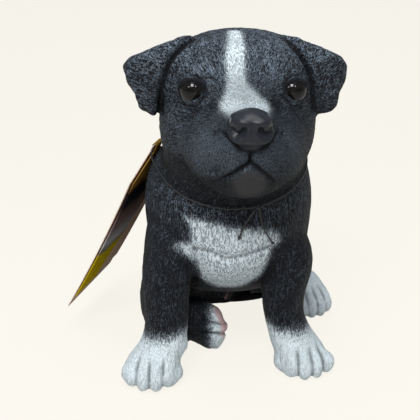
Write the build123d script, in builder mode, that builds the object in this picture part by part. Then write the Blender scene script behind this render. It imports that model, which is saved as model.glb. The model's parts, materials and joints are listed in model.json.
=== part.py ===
from build123d import *
import math
import os

os.makedirs("parts", exist_ok=True)

# Seated puppy figure, hollow cast in resin, with a card tag on a cord round its neck.
# Millimetres, +Z up, the puppy looks along -Y, its left side is +X.
# The origin is the centre of the felt face that the figure sits on.

# Overall sizes of the figure
figure_height = 214.5
felt_thickness = 1.0
casting_wall = 4.5
bond_gap = 0.15
cut_overrun = 2.0

# Trunk, from the seat up to the neck
trunk_width = 114.0
trunk_depth = 120.0
trunk_offset = 1.5

# Neck, where the head casting is bonded on
neck_height = 133.5
neck_forward = 82.0
neck_width = 88.0
neck_depth = 91.0
neck_lean = 21.0
neck_offset = 4.0
spigot_height = 9.0

# Head, which looks a little to its left
head_width = 93.0
head_depth = 88.0
head_forward = 94.0
head_offset = 6.3
head_yaw = 4.5
head_roll = 1.2
muzzle_length = 71.0
muzzle_width = 72.0
muzzle_height = 64.0
chin_length = 53.0
chin_width = 52.0
chin_height = 32.0
nose_width = 22.0
nose_height = 18.0
nose_depth = 13.0
nose_reach = 69.0
# How high the features sit between the neck and the crown
muzzle_rise_share = 0.3025
chin_rise_share = 0.0926
nose_rise_share = 0.5309
eye_rise_share = 0.6605

# Glass eyes, domes with a flat back
eye_diameter = 16.0
eye_depth = 11.0
eye_spacing_share = 0.602
eye_reach_share = 0.3295
eye_turn = 20.0

# Ears, folded over at the top
ear_width = 42.0
ear_thickness = 8.0
ear_drop_share = 1.148

# Forelegs
foreleg_height = 98.0
foreleg_width = 28.0
foreleg_seat = 66.0
paw_width = 36.0
paw_length = 40.0
right_paw_out = 46.0
right_paw_forward = 121.0
left_paw_out = 49.5
left_paw_forward = 107.0
peg_diameter = 10.0
peg_height = 8.0

# Hind legs, folded flat beside the rump
haunch_length = 80.0
haunch_height = 72.0
haunch_reach = 56.5
haunch_margin = 1.5
haunch_back = 10.0
haunch_rise = 35.0
haunch_seat = 34.0
left_foot_length = 54.0
left_foot_width = 30.0
left_foot_height = 26.0
left_foot_turn = 20.0
right_foot_length = 46.0
right_foot_forward = 84.0
right_foot_width = 33.0
right_foot_thickness = 20.0
shin_width = 32.0

# Tail, lying on the ground behind
tail_length = 70.0
tail_width = 18.0

# Bung and felt pads
bung_diameter = 22.0
bung_flange = 2.0
bung_clearance = 0.1
seat_length = 36.0
seat_width = 74.0
pad_diameter = 17.0

# Cord round the neck and its two short ends
cord_diameter = 1.0
knot_size = 3.4
stopper_size = 2.4

# Card tag, folded over the cord
card_thickness = 0.5
fold_clearance = 0.5
tag_width = 66.0
tag_length = 122.0
tag_tab = 10.0
tag_shift = 11.0
tag_shoulder = 20.0
tag_extra = 8.0
tag_hang_angle = 24.5
tag_curl_angle = 6.0
leaf_start_angle = -40.0
leaf_close_angle = 0.4
tag_turn = 70.0
tag_slope = 3.0
tag_inset = 12.5
tag_hook_forward = 67.0
tag_hook_height = 137.0
tag_cord_run = 22.0

sole = felt_thickness


def tilted(x, y, z, lean, yaw=0.0):
    """Plane for a section whose top leans forward, turned about the vertical."""
    turn = math.radians(yaw)
    tip = math.radians(lean)
    across = (math.cos(turn), math.sin(turn), 0)
    up = (math.sin(turn) * math.sin(tip), -math.cos(turn) * math.sin(tip), math.cos(tip))
    return Plane(origin=(x, y, z), x_dir=across, z_dir=up)


def lofted(sections):
    """Solid skinned over ellipses, each given as a plane and two half sizes."""
    with BuildPart() as form:
        for plane, half_width, half_depth in sections:
            with BuildSketch(plane):
                Ellipse(half_width, half_depth)
        loft()
    return form.part


def path_planes(points):
    """Section planes along a list of points, each square to the path there."""
    planes = []
    for i, point in enumerate(points):
        before = Vector(*points[max(i - 1, 0)])
        after = Vector(*points[min(i + 1, len(points) - 1)])
        along = (after - before).normalized()
        across = Vector(0, 0, 1).cross(along)
        planes.append(Plane(origin=point, x_dir=across, z_dir=along))
    return planes


# Trunk and neck
neck_plane = tilted(neck_offset, -neck_forward, neck_height, neck_lean)
neck_half = (neck_width / 2, neck_depth / 2)

# Forward of the seat, height, half width, half depth, lean
trunk_share = [
    (0.950, 0.860, 0.452, 0.417, 0.70),
    (0.850, 0.710, 0.462, 0.475, 0.60),
    (0.680, 0.540, 0.456, 0.500, 0.45),
    (0.380, 0.370, 0.460, 0.485, 0.25),
    (0.065, 0.194, 0.460, 0.300, 0.10),
]
base_share = (-0.025, 0.400, 0.190)


def trunk_sections(inset, neck_inset, floor):
    """Sections of the trunk, moved in from its skin by the inset."""
    sections = [(neck_plane, neck_half[0] - neck_inset, neck_half[1] - neck_inset)]
    for forward, height, width, depth, lean in trunk_share:
        plane = tilted(trunk_offset, -forward * neck_forward, height * neck_height, lean * neck_lean)
        sections.append((plane, width * trunk_width - inset, depth * trunk_depth - inset))
    forward, width, depth = base_share
    plane = tilted(trunk_offset, -forward * neck_forward, floor, 0)
    sections.append((plane, width * trunk_width - inset, depth * trunk_depth - inset))
    return sections


trunk_form = lofted(trunk_sections(0, 0, sole))
trunk_hollow = lofted(trunk_sections(casting_wall, 2 * casting_wall, sole + casting_wall))

# Haunches, one each side: reach out, half length, half height
haunch_share = [
    (0.30, 0.50, 0.50),
    (0.70, 0.49, 0.48),
    (0.87, 0.40, 0.39),
    (0.96, 0.24, 0.23),
    (1.00, 0.08, 0.08),
]


def haunch(side):
    """Rounded thigh on one side, side is 1 on the left and -1 on the right."""
    sections = []
    for reach, length, height in haunch_share:
        origin = (trunk_offset + side * reach * haunch_reach, -haunch_back, haunch_rise)
        plane = Plane(origin=origin, x_dir=(0, side, 0), z_dir=(side, 0, 0))
        sections.append((plane, length * haunch_length, height * haunch_height))
    return lofted(sections)


haunch_forms = {1: haunch(1), -1: haunch(-1)}


def haunch_region(side, gap):
    """The part of the flank that is cast with the hind leg."""
    seat = Plane(
        origin=(trunk_offset + side * (haunch_seat - gap), -haunch_back, haunch_rise),
        x_dir=(0, side, 0),
        z_dir=(side, 0, 0),
    )
    with BuildPart() as region:
        with BuildSketch(seat):
            Ellipse(haunch_length / 2 + haunch_margin + gap, haunch_height / 2 + haunch_margin + gap)
        extrude(amount=haunch_reach)
    return region.part


# Forelegs: out, forward, height, half width, half depth
right_foreleg_share = [
    (0.70, 0.727, 1.000, 0.50, 0.86),
    (0.76, 0.810, 0.816, 0.57, 0.84),
    (0.80, 0.893, 0.612, 0.54, 0.66),
    (0.80, 0.950, 0.418, 0.48, 0.51),
    (0.84, 0.975, 0.265, 0.50, 0.54),
    (0.96, 1.000, 0.143, 0.58, 0.66),
    (1.00, 1.000, 0.0, 0.61, 0.70),
]
left_foreleg_share = [
    (0.70, 0.766, 1.000, 0.50, 0.86),
    (0.74, 0.841, 0.816, 0.57, 0.84),
    (0.76, 0.916, 0.612, 0.54, 0.66),
    (0.73, 0.963, 0.418, 0.46, 0.51),
    (0.81, 0.981, 0.265, 0.49, 0.54),
    (0.93, 1.000, 0.143, 0.57, 0.66),
    (1.00, 1.000, 0.0, 0.60, 0.70),
]
# Toes of a standing paw: across, forward, size
toe_share = [(-0.37, 0.17, 0.18), (-0.13, 0.34, 0.20), (0.13, 0.34, 0.20), (0.37, 0.17, 0.18)]


def foreleg_form(side, table, out, forward):
    """Whole foreleg from the shoulder to the toes, before it is cut at its seat."""
    sections = []
    for across, fore, height, half_width, half_depth in table:
        level = sole + height * (foreleg_height - sole)
        plane = tilted(side * across * out, -fore * forward, level, 0)
        sections.append((plane, half_width * foreleg_width, half_depth * foreleg_width))
    with BuildPart() as form:
        add(lofted(sections))
        for across, fore, size in toe_share:
            toe = size * paw_width
            place = (side * out + across * paw_width, -forward - fore * paw_length, sole + toe)
            with Locations(place):
                Sphere(toe)
    return form.part


foreleg_forms = {
    1: foreleg_form(1, left_foreleg_share, left_paw_out, left_paw_forward),
    -1: foreleg_form(-1, right_foreleg_share, right_paw_out, right_paw_forward),
}
# Where each leg's locating peg stands on the seat plane
peg_places = {
    1: (0.80 * left_paw_out, -0.89 * left_paw_forward, foreleg_seat),
    -1: (-0.82 * right_paw_out, -0.87 * right_paw_forward, foreleg_seat),
}
below_seat = {}
for side in (1, -1):
    with BuildPart() as slab:
        with BuildSketch(Plane.XY):
            with Locations((side * haunch_reach, -neck_forward)):
                Rectangle(2 * haunch_reach, 2 * neck_forward)
        extrude(amount=foreleg_seat)
    below_seat[side] = slab.part

# Body casting: trunk, shoulders and the collar that locates the head
with BuildPart() as body_casting:
    add(trunk_form)
    for side in (1, -1):
        add(haunch_forms[side])
        add(foreleg_forms[side] - below_seat[side])
    for side in (1, -1):
        add(haunch_region(side, 0), mode=Mode.SUBTRACT)
    split(bisect_by=Plane.XY.offset(sole), keep=Keep.TOP)
    with BuildSketch(neck_plane):
        Ellipse(neck_half[0] - casting_wall, neck_half[1] - casting_wall)
        Ellipse(neck_half[0] - 2 * casting_wall, neck_half[1] - 2 * casting_wall, mode=Mode.SUBTRACT)
    extrude(amount=spigot_height)
    add(trunk_hollow - haunch_region(1, casting_wall) - haunch_region(-1, casting_wall), mode=Mode.SUBTRACT)
    for side in (1, -1):
        with BuildSketch(Plane(origin=peg_places[side])):
            Circle(peg_diameter / 2)
        extrude(amount=-peg_height)
    with BuildSketch(Plane.XY.offset(sole)):
        Circle(bung_diameter / 2)
    extrude(amount=casting_wall + cut_overrun, mode=Mode.SUBTRACT)
    with BuildSketch(Plane.XY.offset(sole)):
        Circle(bung_diameter / 2 + bung_flange)
    extrude(amount=bung_flange, mode=Mode.SUBTRACT)
body_casting.part.label = "body_casting"
export_step(body_casting.part, "parts/body_casting.step")

# Forelegs, each bonded flat under the shoulder over its peg
foreleg_names = {1: "left_foreleg", -1: "right_foreleg"}
for side in (1, -1):
    with BuildPart() as foreleg:
        add(foreleg_forms[side] & below_seat[side])
        add(trunk_form, mode=Mode.SUBTRACT)
        with BuildSketch(Plane(origin=peg_places[side])):
            Circle(peg_diameter / 2 + bond_gap)
        extrude(amount=-peg_height - bond_gap, mode=Mode.SUBTRACT)
    foreleg.part.label = foreleg_names[side]
    export_step(foreleg.part, f"parts/{foreleg_names[side]}.step")

# Left hind leg: thigh with a foot flat on the ground, turned outwards
left_foot_share = [
    (0.00, 0.36, 0.30, 0.34),
    (0.30, 0.42, 0.46, 0.50),
    (0.55, 0.47, 0.48, 0.52),
    (0.80, 0.50, 0.32, 0.36),
    (0.95, 0.40, 0.23, 0.27),
]
foot_turn = math.radians(left_foot_turn)
foot_aim = (math.sin(foot_turn), -math.cos(foot_turn), 0)
foot_across = (math.cos(foot_turn), math.sin(foot_turn), 0)
left_heel = (haunch_reach * 0.82, haunch_back * 0.5, 0)


def left_foot_place(forward, across, height):
    """Point of the left foot, from its heel, along its own aim."""
    return tuple(left_heel[i] + forward * foot_aim[i] + across * foot_across[i] for i in (0, 1)) + (height,)


foot_sections = []
for forward, half_width, rise, half_height in left_foot_share:
    origin = left_foot_place(forward * left_foot_length, 0, sole + rise * left_foot_height)
    plane = Plane(origin=origin, x_dir=foot_across, z_dir=foot_aim)
    foot_sections.append((plane, half_width * left_foot_width, half_height * left_foot_height))
left_foot_form = lofted(foot_sections)
hind_toe_share = [(-0.34, 0.84, 0.19), (-0.12, 0.90, 0.21), (0.12, 0.89, 0.21), (0.34, 0.80, 0.19)]

with BuildPart() as left_hind_leg:
    add((trunk_form + haunch_forms[1]) & haunch_region(1, 0))
    add(left_foot_form - trunk_form)
    for across, forward, size in hind_toe_share:
        toe = size * left_foot_width
        with Locations(left_foot_place(forward * left_foot_length, across * left_foot_width, sole + toe)):
            Sphere(toe)
    split(bisect_by=Plane.XY.offset(sole), keep=Keep.TOP)
left_hind_leg.part.label = "left_hind_leg"
export_step(left_hind_leg.part, "parts/left_hind_leg.step")

# Right hind leg: folded under, so that the foot lies on its edge between the forelegs
shin_share = [
    (-0.62, 0.10, 0.45, 0.55, 0.60),
    (-0.72, 0.48, 0.36, 0.52, 0.60),
    (-0.74, 0.78, 0.29, 0.46, 0.56),
    (-0.68, 1.00, 0.25, 0.36, 0.50),
]
shin_points = []
shin_sizes = []
for across, forward, height, half_width, half_height in shin_share:
    shin_points.append((across * haunch_reach, -forward * right_foot_forward, sole + height * haunch_height))
    shin_sizes.append((half_width * shin_width, half_height * shin_width))
shin_form = lofted([(p, w, h) for p, (w, h) in zip(path_planes(shin_points), shin_sizes)])

right_foot_share = [
    (0.00, 0.40, 0.44),
    (0.25, 0.46, 0.47),
    (0.60, 0.48, 0.50),
    (0.85, 0.42, 0.47),
    (0.97, 0.22, 0.30),
]
right_heel = (-haunch_reach * 0.80, -right_foot_forward, sole + right_foot_width * 0.49)
right_toe_drop = right_foot_thickness * 0.1
foot_sections = []
for along, half_thick, half_width in right_foot_share:
    origin = (
        right_heel[0] + along * right_foot_length,
        right_heel[1] - along * right_toe_drop,
        right_heel[2],
    )
    plane = Plane(origin=origin, x_dir=(0, 1, 0), z_dir=(1, 0, 0))
    foot_sections.append((plane, half_thick * right_foot_thickness, half_width * right_foot_width))
right_foot_form = lofted(foot_sections)
side_toe_share = [(-0.32, 0.86, 0.18), (-0.11, 0.93, 0.20), (0.11, 0.93, 0.20), (0.32, 0.86, 0.18)]

with BuildPart() as right_hind_leg:
    add((trunk_form + haunch_forms[-1]) & haunch_region(-1, 0))
    add(shin_form - trunk_form - haunch_forms[-1])
    add(right_foot_form)
    for up, along, size in side_toe_share:
        toe = size * right_foot_width
        place = (
            right_heel[0] + along * right_foot_length,
            right_heel[1] - along * right_toe_drop,
            right_heel[2] + up * right_foot_width,
        )
        with Locations(place):
            Sphere(toe)
    split(bisect_by=Plane.XY.offset(sole), keep=Keep.TOP)
right_hind_leg.part.label = "right_hind_leg"
export_step(right_hind_leg.part, "parts/right_hind_leg.step")

# Head casting
head_height = figure_height - neck_height
eye_rise = neck_height + eye_rise_share * head_height
eye_spacing = eye_spacing_share * head_width
eye_reach = eye_reach_share * head_depth
head_turn = math.radians(head_yaw)
head_aim = (math.sin(head_turn), -math.cos(head_turn), 0)
head_across = (math.cos(head_turn), math.sin(head_turn), 0)


def head_place(reach, across, height):
    """Point of the head, by its reach forward of the skull's middle and its place across."""
    height -= across * math.tan(math.radians(head_roll))
    x = head_offset + reach * head_aim[0] + across * head_across[0]
    y = -head_forward + reach * head_aim[1] + across * head_across[1]
    return (x, y, height)


# Height between neck and crown, half width, half depth, reach, lean
skull_share = [
    (0.150, 0.485, 0.520, -0.060, 0.55),
    (0.360, 0.500, 0.510, 0.000, 0.20),
    (0.565, 0.488, 0.480, 0.010, 0.0),
    (0.750, 0.450, 0.430, 0.015, 0.0),
    (0.885, 0.370, 0.350, 0.020, 0.0),
    (0.965, 0.245, 0.230, 0.025, 0.0),
    (1.000, 0.090, 0.090, 0.030, 0.0),
]


def skull_sections(rows, inset):
    """Sections of the skull at the given rows, moved in from its skin by the inset."""
    sections = []
    for height, width, depth, reach, lean in rows:
        x, y, z = head_place(reach * head_depth, 0, neck_height + height * head_height)
        plane = tilted(x, y, z - inset, lean * neck_lean, head_yaw)
        sections.append((plane, width * head_width - inset, depth * head_depth - inset))
    return sections


def forward_form(table, length, width, height, rise):
    """Solid that reaches forward from the skull: reach, rise, half width, half height."""
    sections = []
    for reach, up, half_width, half_height in table:
        origin = head_place(reach * length, 0, rise + up * height)
        plane = Plane(origin=origin, x_dir=head_across, z_dir=head_aim)
        sections.append((plane, half_width * width, half_height * height))
    return lofted(sections)


muzzle_share = [
    (0.30, 0.000, 0.50, 0.50),
    (0.65, -0.03, 0.43, 0.42),
    (0.82, -0.02, 0.37, 0.34),
    (0.93, 0.030, 0.30, 0.26),
    (1.00, 0.090, 0.18, 0.16),
]
chin_share = [
    (0.30, 0.00, 0.50, 0.50),
    (0.68, -0.02, 0.42, 0.42),
    (0.90, 0.02, 0.29, 0.30),
    (1.00, 0.06, 0.13, 0.14),
]
nose_share = [
    (-0.50, 0.00, 0.40, 0.42),
    (0.00, 0.00, 0.50, 0.50),
    (0.35, 0.03, 0.40, 0.38),
    (0.50, 0.05, 0.20, 0.20),
]

skull_form = lofted([(neck_plane, *neck_half)] + skull_sections(skull_share, 0))
collar_top = neck_plane.offset(spigot_height)
hollow_start = (collar_top, neck_half[0] - 2 * casting_wall, neck_half[1] - 2 * casting_wall)
skull_hollow = lofted([hollow_start] + skull_sections(skull_share[1:-2], casting_wall))
muzzle_rise = neck_height + muzzle_rise_share * head_height
chin_rise = neck_height + chin_rise_share * head_height
nose_rise = neck_height + nose_rise_share * head_height
muzzle_form = forward_form(muzzle_share, muzzle_length, muzzle_width, muzzle_height, muzzle_rise)
chin_form = forward_form(chin_share, chin_length, chin_width, chin_height, chin_rise)
nose_sections = []
for reach, up, half_width, half_height in nose_share:
    origin = head_place(nose_reach + reach * nose_depth, 0, nose_rise + up * nose_height)
    plane = Plane(origin=origin, x_dir=head_across, z_dir=head_aim)
    nose_sections.append((plane, half_width * nose_width, half_height * nose_height))
nose_form = lofted(nose_sections)


def eye_plane(side):
    """Plane on the flat back of an eye, looking out along the eye."""
    turn = math.radians(head_yaw + side * eye_turn)
    aim = Vector(math.sin(turn), -math.cos(turn), 0)
    centre = Vector(*head_place(eye_reach, side * eye_spacing / 2, eye_rise))
    return Plane(origin=centre - aim * (eye_depth - eye_diameter / 2), z_dir=aim)


def eye_form(side, gap):
    """Dome of an eye, grown by the gap for its socket."""
    back = eye_plane(side)
    with BuildPart() as dome:
        with Locations(back.offset(eye_depth - eye_diameter / 2)):
            Sphere(eye_diameter / 2 + gap)
        split(bisect_by=back, keep=Keep.TOP)
    return dome.part


with BuildPart() as head_casting:
    add(skull_form)
    add(muzzle_form)
    add(chin_form)
    add(nose_form)
    head_solid = head_casting.part
    add(skull_hollow, mode=Mode.SUBTRACT)
    with BuildSketch(neck_plane):
        Ellipse(neck_half[0] - casting_wall + bond_gap, neck_half[1] - casting_wall + bond_gap)
    extrude(amount=spigot_height + bond_gap, mode=Mode.SUBTRACT)
    for side in (1, -1):
        add(eye_form(side, bond_gap), mode=Mode.SUBTRACT)
head_casting.part.label = "head_casting"
export_step(head_casting.part, "parts/head_casting.step")

for side, name in ((1, "left_eye"), (-1, "right_eye")):
    with BuildPart() as eye:
        add(eye_form(side, 0))
    eye.part.label = name
    export_step(eye.part, f"parts/{name}.step")

# Ears: across, reach, height over the eyes, how much the width runs back, droop, half width, half thickness
ear_share = [
    (0.445, -0.03, 0.212, 0.40, -0.50, 0.40, 0.72),
    (0.490, -0.03, 0.185, 0.50, -0.50, 0.54, 1.00),
    (0.545, 0.00, 0.090, 0.75, -0.32, 0.51, 0.75),
    (0.570, 0.03, -0.010, 0.92, -0.12, 0.41, 0.65),
    (0.570, 0.06, -0.105, 0.95, 0.0, 0.25, 0.55),
    (0.552, 0.08, -0.215, 0.95, 0.0, 0.11, 0.42),
]
for side, name in ((1, "left_ear"), (-1, "right_ear")):
    ear_sections = []
    for across, reach, up, back, droop, half_width, half_thick in ear_share:
        height = eye_rise + up * ear_drop_share * head_height
        origin = head_place(reach * head_width, side * across * head_width, height)
        outward = Vector(*head_across) * side - Vector(*head_aim) * back + Vector(0, 0, droop)
        facing = Vector(*head_aim) + Vector(*head_across) * side * back
        plane = Plane(origin=origin, x_dir=outward, z_dir=outward.cross(facing))
        ear_sections.append((plane, half_width * ear_width, half_thick * ear_thickness))
    with BuildPart() as ear:
        add(lofted(ear_sections))
        add(head_solid, mode=Mode.SUBTRACT)
    ear.part.label = name
    export_step(ear.part, f"parts/{name}.step")

# Tail: across, behind the seat, height, half thickness
tail_share = [
    (0.060, 0.290, 0.225, 0.53),
    (0.000, 0.470, 0.175, 0.50),
    (-0.140, 0.600, 0.138, 0.44),
    (-0.340, 0.665, 0.107, 0.345),
    (-0.530, 0.670, 0.087, 0.265),
    (-0.680, 0.630, 0.066, 0.18),
    (-0.750, 0.580, 0.052, 0.11),
]
tail_points = []
for across, behind, height, half in tail_share:
    tail_points.append((across * tail_length, behind * tail_length, height * tail_length))
tail_sizes = [half * tail_width for across, behind, height, half in tail_share]
with BuildPart() as tail:
    add(lofted([(p, size, size) for p, size in zip(path_planes(tail_points), tail_sizes)]))
    add(trunk_form, mode=Mode.SUBTRACT)
    for side in (1, -1):
        add(haunch_forms[side], mode=Mode.SUBTRACT)
    split(bisect_by=Plane.XY.offset(sole), keep=Keep.TOP)
tail.part.label = "tail"
export_step(tail.part, "parts/tail.step")

# Bung in the vent hole under the rump, flush with the underside
with BuildPart() as base_plug:
    with BuildSketch(Plane.XY.offset(sole)):
        Circle(bung_diameter / 2 + bung_flange - bung_clearance)
    extrude(amount=bung_flange)
    with BuildSketch(Plane.XY.offset(sole)):
        Circle(bung_diameter / 2 - bung_clearance)
    extrude(amount=casting_wall)
base_plug.part.label = "base_plug"
export_step(base_plug.part, "parts/base_plug.step")

# Felt pads
with BuildPart() as seat_felt:
    with BuildSketch(Plane.XY):
        Ellipse(seat_width / 2, seat_length / 2)
    extrude(amount=felt_thickness)
seat_felt.part.label = "seat_felt"
export_step(seat_felt.part, "parts/seat_felt.step")

pad_places = [
    (left_paw_out, -left_paw_forward),
    (-right_paw_out, -right_paw_forward),
    left_foot_place(0.62 * left_foot_length, 0, 0)[:2],
]
with BuildPart() as paw_felts:
    with BuildSketch(Plane.XY):
        with Locations(*pad_places):
            Circle(pad_diameter / 2)
    extrude(amount=felt_thickness)
paw_felts.part.label = "paw_felts"
export_step(paw_felts.part, "parts/paw_felts.step")

# Where the tag hangs on the cord, beside the shoulder, and the line of its fold
turn = math.radians(tag_turn)
slope = math.radians(tag_slope)
fold_axis = Vector(math.cos(turn) * math.cos(slope), math.sin(turn) * math.cos(slope), math.sin(slope))
tag_hook = Vector(trunk_offset - trunk_width / 2 + tag_inset, -tag_hook_forward, tag_hook_height)

# Cord: one tail, round the neck from the knot and back to it, then the other tail
knot_place = (18.3, -124.9, 117.2)
first_tail_points = [
    knot_place,
    (14.6, -125.4, 113.2),
    (11.2, -126.6, 108.6),
    (8.8, -127.8, 103.6),
    (7.2, -128.2, 98.6),
]
loop_points = [
    (19.0, -124.7, 117.3),
    (29.9, -119.0, 119.3),
    (41.0, -108.9, 123.2),
    (48.0, -95.8, 128.2),
    (50.3, -81.2, 133.8),
    (47.5, -66.7, 139.4),
    (40.0, -53.9, 144.3),
    (28.5, -44.2, 148.0),
    (14.4, -38.5, 150.2),
    (-0.8, -37.6, 150.5),
    (-15.6, -41.6, 149.0),
    (-28.6, -48.2, 144.4),
    tuple(tag_hook + fold_axis * tag_cord_run / 2),
    tuple(tag_hook - fold_axis * tag_cord_run / 2),
    (-45.4, -87.2, 132.4),
    (-39.9, -98.0, 127.4),
    (-32.8, -109.9, 122.8),
    (-22.1, -119.4, 119.1),
    (-8.9, -125.4, 116.8),
    (5.6, -127.1, 116.1),
    (17.6, -125.0, 117.1),
]
last_tail_points = [
    knot_place,
    (19.4, -124.9, 112.2),
    (20.2, -125.1, 107.2),
    (21.9, -124.9, 102.2),
    (24.8, -123.9, 97.4),
    (27.2, -122.6, 93.0),
]


def cord_radii(points):
    """Largest bend radius that the two runs at each corner leave room for."""
    radii = []
    for before, corner, after in zip(points, points[1:], points[2:]):
        first = Vector(*corner) - Vector(*before)
        second = Vector(*after) - Vector(*corner)
        half_turn = math.radians(first.get_angle(second) / 2)
        radii.append(0.45 * min(first.length, second.length) / math.tan(half_turn))
    return radii


def cord_tube(points):
    """Round tube of the cord's diameter along a list of points."""
    start = Vector(*points[0])
    with BuildPart() as tube:
        with BuildLine() as route:
            FilletPolyline(*points, radius=cord_radii(points))
        with BuildSketch(Plane(origin=start, z_dir=Vector(*points[1]) - start)):
            Circle(cord_diameter / 2)
        sweep(path=route.wire())
    length = route.wire().length
    section = math.pi * cord_diameter**2 / 4
    print("cord length", round(length, 1), "volume ratio", round(tube.part.volume / (section * length), 4))
    print("radii", [round(radius, 1) for radius in cord_radii(points)])
    return tube.part


with BuildPart() as cord_knot:
    with Locations(knot_place):
        Sphere(knot_size / 2)
cord_knot.part.label = "cord_knot"
export_step(cord_knot.part, "parts/cord_knot.step")

with BuildPart() as cord_end_knots:
    with Locations(first_tail_points[-1], last_tail_points[-1]):
        Sphere(stopper_size / 2)
cord_end_knots.part.label = "cord_end_knots"
export_step(cord_end_knots.part, "parts/cord_end_knots.step")

with BuildPart() as neck_cord:
    add(cord_tube(loop_points))
    add(cord_knot.part, mode=Mode.SUBTRACT)
neck_cord.part.label = "neck_cord"
export_step(neck_cord.part, "parts/neck_cord.step")

with BuildPart() as cord_tails:
    add(cord_tube(first_tail_points))
    add(cord_tube(last_tail_points))
    add(cord_knot.part, mode=Mode.SUBTRACT)
    add(cord_end_knots.part, mode=Mode.SUBTRACT)
cord_tails.part.label = "cord_tails"
export_step(cord_tails.part, "parts/cord_tails.step")

# Card tag: two leaves of one folded card, the fold rolled over the cord
fold_radius = cord_diameter / 2 + fold_clearance + card_thickness / 2
tag_outward = Vector(-math.sin(turn), math.cos(turn), 0)
section_plane = Plane(origin=tag_hook, x_dir=tag_outward, z_dir=fold_axis)
outline_plane = Plane(origin=tag_hook, x_dir=fold_axis, z_dir=tag_outward)
tag_reach = tag_length + tag_extra
tag_outline = [
    (-tag_tab / 2, -3 * fold_radius),
    (-tag_tab / 2, 3 * fold_radius),
    (tag_shift - tag_width / 2, tag_shoulder),
    (tag_shift - tag_width / 2, tag_reach),
    (tag_shift + tag_width / 2, tag_reach),
    (tag_shift + tag_width / 2, tag_shoulder),
    (tag_tab / 2, 3 * fold_radius),
    (tag_tab / 2, -3 * fold_radius),
]
leaf_radius = fold_radius + card_thickness + fold_clearance
leaf_angle = math.radians(leaf_start_angle)
cover_start = (-fold_radius, 0)
leaf_start = (leaf_radius * math.cos(leaf_angle), leaf_radius * math.sin(leaf_angle))
curl_radius = tag_length / math.radians(tag_curl_angle)


def leaf_arc(start, hang, length):
    """Centre line of a leaf, hanging from its start and curling outwards."""
    heading = math.radians(hang)
    curl = math.degrees(length / curl_radius)
    return JernArc(start, (math.sin(heading), -math.cos(heading)), curl_radius, curl)


fold_line = CenterArc((0, 0), fold_radius, 0, 180)
cover_line = leaf_arc(cover_start, tag_hang_angle, tag_length)
leaf_line = leaf_arc(leaf_start, tag_hang_angle - leaf_close_angle, tag_reach)

with BuildPart() as tag_cover:
    with BuildSketch(section_plane):
        SlotArc(fold_line, card_thickness)
        SlotArc(cover_line, card_thickness)
    extrude(amount=tag_width, both=True)
    with BuildSketch(outline_plane):
        Polygon(*tag_outline, align=None)
    extrude(amount=tag_reach, both=True, mode=Mode.INTERSECT)
tag_cover.part.label = "tag_cover"
export_step(tag_cover.part, "parts/tag_cover.step")

with BuildPart() as tag_leaf:
    with BuildSketch(section_plane):
        SlotArc(leaf_line, card_thickness)
    extrude(amount=tag_width, both=True)
    with BuildSketch(outline_plane):
        Polygon(*tag_outline, align=None)
    extrude(amount=tag_reach, both=True, mode=Mode.INTERSECT)
tag_leaf.part.label = "tag_leaf"
export_step(tag_leaf.part, "parts/tag_leaf.step")
print("tag hinge at", tuple(tag_hook), "axis", tuple(fold_axis))
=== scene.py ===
# %% [markdown]
# A hollow resin puppy, cast in pieces and bonded, then painted by hand.
# The imported model is the frame that everything here is fitted to, so it is loaded first and never moved.

# %% Load the frame
import bmesh
import bpy
import json
import math
import numpy as np
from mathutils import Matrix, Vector

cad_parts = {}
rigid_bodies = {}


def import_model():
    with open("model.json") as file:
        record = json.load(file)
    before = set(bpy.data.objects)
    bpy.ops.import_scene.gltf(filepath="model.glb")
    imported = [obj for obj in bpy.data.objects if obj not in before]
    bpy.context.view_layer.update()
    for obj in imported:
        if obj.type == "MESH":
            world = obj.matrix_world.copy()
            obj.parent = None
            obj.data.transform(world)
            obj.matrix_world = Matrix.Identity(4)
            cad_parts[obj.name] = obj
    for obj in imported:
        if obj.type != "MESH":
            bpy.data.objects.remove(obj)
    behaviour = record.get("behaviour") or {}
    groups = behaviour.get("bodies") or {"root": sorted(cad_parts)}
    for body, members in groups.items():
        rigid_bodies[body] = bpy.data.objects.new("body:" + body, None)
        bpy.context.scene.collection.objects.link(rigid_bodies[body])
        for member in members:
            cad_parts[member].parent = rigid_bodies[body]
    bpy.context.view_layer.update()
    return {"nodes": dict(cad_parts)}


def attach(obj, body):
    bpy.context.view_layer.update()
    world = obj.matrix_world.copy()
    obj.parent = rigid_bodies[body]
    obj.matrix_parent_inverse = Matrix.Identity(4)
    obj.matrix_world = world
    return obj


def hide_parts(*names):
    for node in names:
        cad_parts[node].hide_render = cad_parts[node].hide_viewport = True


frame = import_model()
MM = 0.001
print("castings and fittings:", len(frame["nodes"]))

# %% [markdown]
# The photograph looks down on the puppy from in front, at about 22 degrees.
# A long lens would flatten the face and a short one would swell the nose, so the lens is the one
# that gives the paws and the head the same sizes as in the photograph.

# %% Camera
CAMERA_TILT = math.radians(22)
CAMERA_TARGET = Vector((-10, -100, 105)) * MM
CAMERA_DISTANCE = 620 * MM


def placed(name, data):
    """A new object with this data, put in the scene."""
    thing = bpy.data.objects.new(name, data)
    bpy.context.scene.collection.objects.link(thing)
    return thing


camera = placed("camera", bpy.data.cameras.new("camera"))
camera.location = CAMERA_TARGET + CAMERA_DISTANCE * Vector((0, -math.cos(CAMERA_TILT), math.sin(CAMERA_TILT)))
camera.rotation_euler = (math.pi / 2 - CAMERA_TILT, 0, 0)
camera.data.lens = 87
camera.data.sensor_width = 36
camera.data.clip_start = 0.01
bpy.context.scene.camera = camera
print("camera at", [round(c, 3) for c in camera.location])

# %% [markdown]
# The cord round the neck is a millimetre of waxed cotton, tied in front with an overhand knot.
# It could be a mesh tube, but a curve keeps its round section on any route and stays easy to change.
# The control points repeat the route of the solid cord, and a smooth spline runs between them.

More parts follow.
